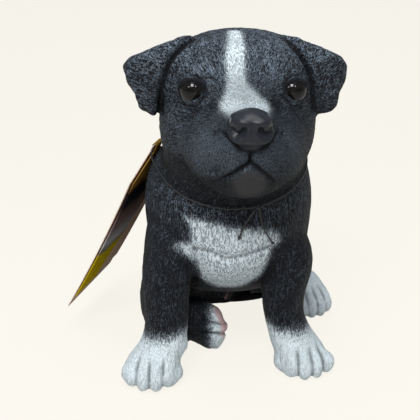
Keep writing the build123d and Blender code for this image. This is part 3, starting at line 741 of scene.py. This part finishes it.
# %% Which casting each face belongs to
x, y, z = centres.T
face_place = head_measures(centres)
owner = np.zeros(len(centres), np.int64)
low = z < SHOULDER_CUT
tail_near = (line_distance(centres, TAIL) < 12) & (y > 27) & (z < 28)
owner[tail_near] = CASTINGS.index("tail")
beside_rump = ((y + 10) / 41.5) ** 2 + ((z - 35) / 37.5) ** 2 < 1
owner[beside_rump & (x > RUMP_MIDDLE + HAUNCH_CUT)] = CASTINGS.index("left_hind_leg")
owner[(x > 38) & (y < 12) & (y > -72) & (z < 30)] = CASTINGS.index("left_hind_leg")
owner[beside_rump & (x < RUMP_MIDDLE - HAUNCH_CUT)] = CASTINGS.index("right_hind_leg")
folded_foot = (x > -62) & (x < 9) & (line_distance(centres, FOLDED_FOOT) < FOOT_REACH) & (z < 37)
owner[(line_distance(centres, SHIN) < 19) & (x < 8) & (y < -30) & (z < 44) & (x < -20) | folded_foot] = \
    CASTINGS.index("right_hind_leg")
FORELEGS = (("right_foreleg", -46, -124, -36, -104), ("left_foreleg", 49.5, -110, 38, -96))
for name, foot_x, foot_y, top_x, top_y in FORELEGS:
    share = np.clip(z / SHOULDER_CUT, 0, 1) ** 0.6
    leg_x, leg_y = foot_x + (top_x - foot_x) * share, foot_y + (top_y - foot_y) * share
    near = ((x - leg_x) / (27 - 7 * share)) ** 2 + ((y - leg_y) / (29 - 8 * share)) ** 2 < 1
    owner[near & low] = CASTINGS.index(name)
above = over_neck(centres) > 0
owner[above] = CASTINGS.index("head_casting")
for side, name in ((1, "left_ear"), (-1, "right_ear")):
    root = side * face_place[:, 0] > 31 + (216 - face_place[:, 2]) * 0.30
    owner[above & root & (face_place[:, 2] > 164) & (face_place[:, 1] < 40)] = CASTINGS.index(name)
print({name: int((owner == i).sum()) for i, name in enumerate(CASTINGS)})

# %% [markdown]
# Each casting becomes a closed piece: the other faces are deleted from a copy and the open rims are filled.

# %% Castings


def skin_piece(index, name):
    """The part of the skin that one casting owns, closed at its cuts and shaded by the uncut skin."""
    shape = bmesh.new()
    shape.from_mesh(clay)
    shape.faces.ensure_lookup_table()
    others = [shape.faces[i] for i in np.nonzero(owner != index)[0]]
    bmesh.ops.delete(shape, geom=others, context="FACES")
    for f in shape.faces:
        f.smooth = True
    rims = [e for e in shape.edges if e.is_boundary]
    caps = bmesh.ops.holes_fill(shape, edges=rims, sides=0)["faces"]
    for cap in caps:
        cap.smooth = False
        corner = cap.loops[0]
        if corner.link_loop_radial_next.vert == corner.vert:
            cap.normal_flip()
    mesh = bpy.data.meshes.new(name + "_skin")
    shape.to_mesh(mesh)
    shape.free()
    held = values_of(mesh.attributes["skin_direction"].data, "vector", 3, np.float32)
    held /= np.maximum(np.linalg.norm(held, axis=1), 1e-6)[:, None]
    shading = held[values_of(mesh.loops, "vertex_index", kind=np.int64)]
    for polygon in mesh.polygons:
        if not polygon.use_smooth:
            shading[polygon.loop_start:polygon.loop_start + polygon.loop_total] = polygon.normal
    mesh.normals_split_custom_set(shading.tolist())
    mesh.attributes.remove(mesh.attributes["skin_direction"])
    piece = placed(name + "_skin", mesh)
    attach(piece, "figure")
    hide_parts(name)
    print(name, "faces:", len(mesh.polygons), "caps:", len(caps))
    return piece


castings = {name: skin_piece(i, name) for i, name in enumerate(CASTINGS)}

# %% [markdown]
# Materials are built from nodes. One small helper adds a node and wires its inputs, so that a recipe
# below reads like a list of steps. Another makes an empty material with its shader.

# %% Material helpers


def add_node(tree, kind, inputs=None, **settings):
    """A node with its settings made and its inputs wired or filled, by name or by number."""
    node = tree.nodes.new(kind)
    for key, value in settings.items():
        setattr(node, key, value)
    for key, value in (inputs or {}).items():
        if isinstance(value, bpy.types.NodeSocket):
            tree.links.new(value, node.inputs[key])
        else:
            node.inputs[key].default_value = value
    return node


def new_material(name):
    """A material with its node tree and its main shader."""
    material = bpy.data.materials.new(name)
    material.use_nodes = True
    return material, material.node_tree, material.node_tree.nodes["Principled BSDF"]


def sums(tree, operation, a, b):
    """Result of one step of arithmetic on two values."""
    return add_node(tree, "ShaderNodeMath", {0: a, 1: b}, operation=operation).outputs[0]


def stretch(tree, value, low, high, to_low=0.0, to_high=1.0):
    """The value, stretched smoothly from one range to another."""
    wires = {0: value, 1: low, 2: high, 3: to_low, 4: to_high}
    return add_node(tree, "ShaderNodeMapRange", wires, interpolation_type="SMOOTHSTEP").outputs[0]


def blended(tree, amount, first, second):
    """Mix of two colours."""
    mix = add_node(tree, "ShaderNodeMix", {0: amount, 6: first, 7: second}, data_type="RGBA")
    return mix.outputs[2]


def grain(tree, place, scale, detail=2.0, rough=0.5):
    """A noise value at a place."""
    wires = {"Vector": place, "Scale": scale, "Detail": detail, "Roughness": rough}
    return add_node(tree, "ShaderNodeTexNoise", wires).outputs[0]


def object_place(tree):
    """Place on the object, in metres."""
    return add_node(tree, "ShaderNodeTexCoord").outputs["Object"]


def vectors(tree, operation, a, b=(0, 0, 0), result=0):
    """Result of one step of arithmetic on two vectors."""
    return add_node(tree, "ShaderNodeVectorMath", {0: a, 1: b}, operation=operation).outputs[result]


def coloured(tree, shader, colour, **settings):
    """Wires the colour of a shader and fills its other inputs, with _ for each space in a name."""
    tree.links.new(colour, shader.inputs["Base Color"])
    for name, value in settings.items():
        shader.inputs[name.replace("_", " ")].default_value = value


def raised(tree, shader, height, strength, depth):
    """Fine relief on a shader, up to a depth in metres."""
    bump = add_node(tree, "ShaderNodeBump", {"Height": height, "Strength": strength, "Distance": depth})
    tree.links.new(bump.outputs[0], shader.inputs["Normal"])


def dress(node_name, material):
    """Gives a solid its finish."""
    materials = frame["nodes"][node_name].data.materials
    materials.clear()
    materials.append(material)


# %% [markdown]
# The coat of paint: a charcoal base, then a nearly dry brush of blue grey dragged over the tips of the fur,
# and white in the markings with grey left in the hollows. The comb measure drives all of it, so the
# strokes of paint run with the carved fur. The nose is smooth satin black. Creases and lids are darkened
# towards the base: painted shade in the creases and under the upper lid, over the dark paint of the lids.

# %% Painted coat
coat, tree, skin_shader = new_material("painted_coat")
comb_place = add_node(tree, "ShaderNodeAttribute", attribute_name="comb").outputs["Vector"]
paint = add_node(tree, "ShaderNodeSeparateXYZ", {
    0: add_node(tree, "ShaderNodeAttribute", attribute_name="paint").outputs["Vector"]}).outputs
marks = add_node(tree, "ShaderNodeSeparateXYZ", {
    0: add_node(tree, "ShaderNodeAttribute", attribute_name="marks").outputs["Vector"]}).outputs


def hair_lines(scale):
    """Thin lines that run with the comb: bright where a noise passes its middle value."""
    away = sums(tree, "ABSOLUTE", sums(tree, "SUBTRACT", grain(tree, comb_place, scale, 1.0), 0.5), 0)
    return stretch(tree, away, 0.14, 0.0)


stroke, hair = hair_lines(1.1), hair_lines(2.2)
locks = stretch(tree, grain(tree, comb_place, 0.48, 1.5), 0.36, 0.64)
tips = sums(tree, "ADD", sums(tree, "MULTIPLY", stroke, 0.55), sums(tree, "MULTIPLY", hair, 0.45))
# The second paint channel is the dry brush, with painted shade under the chin where it is taken away.
loaded = sums(tree, "ADD", tips, sums(tree, "MULTIPLY", paint[1], 0.75))
loaded = sums(tree, "ADD", loaded, sums(tree, "MULTIPLY", sums(tree, "SUBTRACT", locks, 0.45), 0.20))
dry_brush = sums(tree, "MULTIPLY", stretch(tree, loaded, 0.62, 1.45), stretch(tree, paint[1], 0.0, 0.6, 0.4, 1.0))
DARK = (0.0045, 0.005, 0.007, 1)
SOOT = (0.012, 0.0138, 0.018, 1)
BLUE_GREY = (0.185, 0.235, 0.295, 1)
HOLLOW_GREY = (0.25, 0.295, 0.335, 1)
WHITE = (0.74, 0.84, 0.89, 1)
LIP_GREY = (0.042, 0.040, 0.042, 1)
PAD_PINK = (0.70, 0.43, 0.43, 1)
SATIN = (0.016, 0.019, 0.025, 1)
dark_coat = blended(tree, stretch(tree, tips, 0.2, 0.9), DARK, SOOT)
dark_coat = blended(tree, dry_brush, dark_coat, BLUE_GREY)
cover = sums(tree, "ADD", tips, sums(tree, "MULTIPLY", sums(tree, "SUBTRACT", paint[0], 0.82), 1.8))
white_coat = blended(tree, stretch(tree, cover, -0.1, 0.75), HOLLOW_GREY, WHITE)
edge = sums(tree, "ADD", paint[0], sums(tree, "MULTIPLY", sums(tree, "SUBTRACT", tips, 0.5), 0.42))
colour = blended(tree, stretch(tree, edge, 0.12, 0.92), dark_coat, white_coat)
# Painted shade: creases and lid rims are darkened towards the charcoal base.
colour = blended(tree, sums(tree, "MULTIPLY", marks[2], 0.62), colour, DARK)
colour = blended(tree, sums(tree, "MULTIPLY", marks[0], 0.85), colour, LIP_GREY)
colour = blended(tree, sums(tree, "MULTIPLY", marks[1], 0.8), colour, PAD_PINK)
colour = blended(tree, paint[2], colour, SATIN)
coloured(tree, skin_shader, colour, Specular_IOR_Level=0.14)
tree.links.new(stretch(tree, paint[2], 0, 1, 0.60, 0.30), skin_shader.inputs["Roughness"])
relief = sums(tree, "MULTIPLY", sums(tree, "ADD", sums(tree, "ADD", stroke, locks), sums(tree, "MULTIPLY", hair, 0.4)),
              stretch(tree, sums(tree, "MAXIMUM", paint[2], sums(tree, "MULTIPLY", marks[0], 0.8)), 0, 1, 1.0, 0.05))
raised(tree, skin_shader, relief, 0.9, 0.00035)
satin, satin_tree, satin_shader = new_material("satin_nose")
leather = grain(satin_tree, object_place(satin_tree), 900, 2.0)
coloured(satin_tree, satin_shader, blended(satin_tree, leather, (0.010, 0.012, 0.017, 1), (0.020, 0.023, 0.030, 1)),
         Roughness=0.33, Specular_IOR_Level=0.25)
raised(satin_tree, satin_shader, leather, 0.25, 0.0001)
SATIN_FROM = 0.55
for piece in castings.values():
    mesh = piece.data
    mesh.materials.append(coat)
    mesh.materials.append(satin)
    shine = values_of(mesh.attributes["paint"].data, "vector", 3, np.float32)[:, 2]
    for polygon in mesh.polygons:
        polygon.material_index = int(min(shine[i] for i in polygon.vertices) > SATIN_FROM)
print("coat nodes:", len(tree.nodes))

# %% [markdown]
# The eyes are black glass balls with a flat back, bought in and set in their sockets. The solid's shape is
# right, so it stays and only gets a glossy finish: a dark brown iris round a black pupil, seen through a
# clear coat. The iris is drawn by the distance from the line that the eye looks along.

# %% Glass eyes
for side, node_name in ((1, "left_eye"), (-1, "right_eye")):
    glass, tree, shader = new_material(node_name + "_glass")
    turn = HEAD_YAW + side * EYE_TURN
    centre = np.array((*HEAD_MIDDLE, 0)) + (*(TO_HEAD.T @ (side * EYE_ACROSS, EYE_FORWARD)), 0)
    centre[2] = EYE_HEIGHT - side * EYE_ACROSS * HEAD_ROLL
    arm = vectors(tree, "SUBTRACT", object_place(tree), tuple(centre * MM))
    off_axis = vectors(tree, "CROSS_PRODUCT", arm, (math.sin(turn), -math.cos(turn), 0))
    radius = vectors(tree, "LENGTH", off_axis, result="Value")
    fibre = grain(tree, off_axis, 1500, 3.0, 0.6)
    iris = blended(tree, fibre, (0.004, 0.003, 0.003, 1), (0.009, 0.0065, 0.0055, 1))
    inner = stretch(tree, radius, 0.0026, 0.0031)
    outer = stretch(tree, radius, 0.0050, 0.0056)
    tint = blended(tree, inner, (0.002, 0.002, 0.002, 1), iris)
    tint = blended(tree, outer, tint, (0.004, 0.004, 0.004, 1))
    coloured(tree, shader, tint, Roughness=0.25, Specular_IOR_Level=0.0, Coat_Weight=1.0, Coat_Roughness=0.02,
             Coat_IOR=1.36)
    dress(node_name, glass)
print("eyes glazed")

# %% [markdown]
# Small parts underneath: the rubber bung that closes the casting, and the felt under the rump and the feet.
# Felt is a mat of fibres, so its colour and its relief both come from a fine noise, with a little sheen.

# %% Bung and felts
rubber, tree, shader = new_material("bung_rubber")
bloom = grain(tree, object_place(tree), 220, 4.0, 0.6)
coloured(tree, shader, blended(tree, bloom, (0.012, 0.012, 0.012, 1), (0.035, 0.034, 0.032, 1)))
tree.links.new(stretch(tree, bloom, 0.3, 0.7, 0.55, 0.8), shader.inputs["Roughness"])
felt, tree, shader = new_material("black_felt")
fibres = grain(tree, object_place(tree), 2600, 4.0, 0.7)
coloured(tree, shader, blended(tree, fibres, (0.012, 0.012, 0.013, 1), (0.055, 0.054, 0.056, 1)),
         Roughness=0.95, Sheen_Weight=0.4)
raised(tree, shader, fibres, 0.8, 0.0003)
for node_name, material in (("base_plug", rubber), ("seat_felt", felt), ("paw_felts", felt)):
    dress(node_name, material)
print("bung and felts finished")

# %% [markdown]
# The cord is waxed, so it has a dull shine and a fine twist. A wave across its own length gives the twist.

# %% Cord finish
waxed, tree, shader = new_material("waxed_cord")
wires = {"Vector": object_place(tree), "Scale": 420.0, "Distortion": 1.5, "Detail": 1.0}
twist = add_node(tree, "ShaderNodeTexWave", wires, bands_direction="DIAGONAL").outputs["Fac"]
coloured(tree, shader, blended(tree, twist, (0.006, 0.006, 0.0065, 1), (0.03, 0.03, 0.033, 1)), Roughness=0.42)
raised(tree, shader, twist, 0.4, 0.0001)
for piece in (neck_cord, cord_tails, neck_knot, end_knots):
    piece.data.materials.append(waxed)
print("cord finished")

# %% [markdown]
# The tag is one folded card: coated and printed on the leaf beside the puppy, plain kraft outside. The
# print is soft bands across the card, from gold brown at the top to a yellow strip along its foot. The
# bands follow the distance down the card from the fold.

# %% Card tag
TAG_HOOK = (-43.0, -67.0, 137.0)
HANG = math.radians(27.5)
TAG_TURN = math.radians(70)
FOLD_LINE = (0.341552, 0.938405, 0.052336)
down_card = (-math.sin(TAG_TURN) * math.sin(HANG), math.cos(TAG_TURN) * math.sin(HANG), -math.cos(HANG))


def over_the_card(tree):
    """Distances in metres down the card from its fold and along the fold, and the place on it."""
    place = object_place(tree)
    arm = vectors(tree, "SUBTRACT", place, tuple(Vector(TAG_HOOK) * MM))
    down = vectors(tree, "DOT_PRODUCT", arm, down_card, "Value")
    return down, vectors(tree, "DOT_PRODUCT", arm, FOLD_LINE, "Value"), place


printed, tree, shader = new_material("printed_card")
down, along, place = over_the_card(tree)
cover_ends = [(v.co - Vector(TAG_HOOK) * MM).dot(Vector(FOLD_LINE)) for v in frame["nodes"]["tag_cover"].data.vertices]
print("card reaches along the fold, mm:", round(min(cover_ends) / MM), round(max(cover_ends) / MM))
ripple = sums(tree, "SUBTRACT", grain(tree, place, 60, 3.0), 0.5)
ragged = sums(tree, "ADD", down, sums(tree, "MULTIPLY", ripple, 0.012))
BANDS = [(0.0, (0.34, 0.20, 0.04)), (0.09, (0.24, 0.13, 0.03)), (0.16, (0.016, 0.014, 0.016)),
         (0.28, (0.022, 0.018, 0.019)), (0.40, (0.16, 0.105, 0.09)), (0.53, (0.24, 0.19, 0.19)),
         (0.70, (0.50, 0.48, 0.50)), (0.77, (0.22, 0.19, 0.14)), (0.79, (0.56, 0.42, 0.012)),
         (1.0, (0.58, 0.42, 0.012))]
ramp = add_node(tree, "ShaderNodeValToRGB", {0: stretch(tree, ragged, 0.0, 0.122)})
while len(ramp.color_ramp.elements) < len(BANDS):
    ramp.color_ramp.elements.new(0.5)
for stop, (at, shade) in zip(ramp.color_ramp.elements, BANDS):
    stop.position = at
    stop.color = (*shade, 1)
card_end = max(cover_ends)
margin = stretch(tree, down, 0.02, 0.12, card_end, card_end - 0.034)
bare = sums(tree, "GREATER_THAN", along, margin)
# Bare kraft where the print stops, paler than the outer leaf: partly the card's own colour, partly painted light,
# because this face turns away from the lamps.
KRAFT_AND_PAINTED_LIGHT = (0.66, 0.46, 0.34, 1)
coloured(tree, shader, blended(tree, bare, ramp.outputs[0], KRAFT_AND_PAINTED_LIGHT), Roughness=0.6, Specular_IOR_Level=0.0)
kraft, tree, shader = new_material("kraft_card")
pulp = grain(tree, object_place(tree), 500, 5.0, 0.7)
brown = blended(tree, stretch(tree, pulp, 0.3, 0.7), (0.38, 0.26, 0.185, 1), (0.54, 0.39, 0.29, 1))
coloured(tree, shader, brown, Roughness=0.8)
raised(tree, shader, pulp, 0.3, 0.0001)
for node_name, material in (("tag_cover", printed), ("tag_leaf", kraft)):
    dress(node_name, material)
print("card bands:", len(BANDS))

# %% [markdown]
# A plain pale floor, a pale world, and soft lamps. The background of the photograph is a flat warm white,
# so the floor and the world show that colour to the camera, and a share of real shading keeps the shadow.

# %% Floor and world
CREAM = (0.965, 0.940, 0.870, 1)
floor_shape = bmesh.new()
bmesh.ops.create_grid(floor_shape, x_segments=2, y_segments=2, size=4.0)
floor_mesh = bpy.data.meshes.new("floor")
floor_shape.to_mesh(floor_mesh)
floor_shape.free()
floor = placed("floor", floor_mesh)
pale, tree, shader = new_material("pale_floor")
shader.inputs["Base Color"].default_value = (0.62, 0.60, 0.56, 1)
shader.inputs["Roughness"].default_value = 0.9
seen = add_node(tree, "ShaderNodeLightPath").outputs
mirrored = sums(tree, "MULTIPLY", sums(tree, "MAXIMUM", seen["Is Glossy Ray"], seen["Is Transmission Ray"]), 0.5)
shown = sums(tree, "MAXIMUM", seen["Is Camera Ray"], mirrored)
glow = add_node(tree, "ShaderNodeEmission", {"Color": (1.0, 0.972, 0.895, 1), "Strength": 1.0})
shown = sums(tree, "MULTIPLY", shown, 0.88)
mixed = add_node(tree, "ShaderNodeMixShader", {0: shown, 1: shader.outputs[0], 2: glow.outputs[0]})
tree.links.new(mixed.outputs[0], tree.nodes["Material Output"].inputs["Surface"])
floor.data.materials.append(pale)
world = bpy.data.worlds.new("studio")
bpy.context.scene.world = world
world.use_nodes = True
tree = world.node_tree
seen = add_node(tree, "ShaderNodeLightPath").outputs
background = tree.nodes["Background"]
background.inputs["Color"].default_value = (0.93, 0.96, 1.0, 1)
background.inputs["Strength"].default_value = 0.30
sky = add_node(tree, "ShaderNodeBackground", {"Color": CREAM, "Strength": 1.0})
mixed = add_node(tree, "ShaderNodeMixShader", {0: seen["Is Camera Ray"], 1: background.outputs[0], 2: sky.outputs[0]})
tree.links.new(mixed.outputs[0], tree.nodes["World Output"].inputs["Surface"])
print("floor laid")

# %% [markdown]
# The photograph was lit from a ceiling: one broad soft light over the head and some smaller ones in front,
# which show as bright spots in the eyes and a sheen on the nose.

# %% Lamps
LAMPS = [("ceiling", (0.0, -0.20, 1.10), 0.60, 5.2), ("front", (-0.16, -0.80, 0.98), 0.36, 8.6),
         ("second", (0.30, -0.85, 0.85), 0.10, 1.0), ("third", (-0.55, -0.75, 0.70), 0.12, 0.8)]
LAMPS_AIM = Vector((0, -0.08, 0.11))
for name, place, size, power in LAMPS:
    lamp = placed(name, bpy.data.lights.new(name, "AREA"))
    lamp.data.size = size
    lamp.data.energy = power
    lamp.location = place
    lamp.rotation_euler = (LAMPS_AIM - lamp.location).to_track_quat("-Z", "Y").to_euler()
bpy.context.scene.view_settings.view_transform = "Standard"
print("lamps:", len(LAMPS))

# %% [markdown]
# Last, the scene is brought up to date.

# %% Finish
bpy.context.view_layer.update()
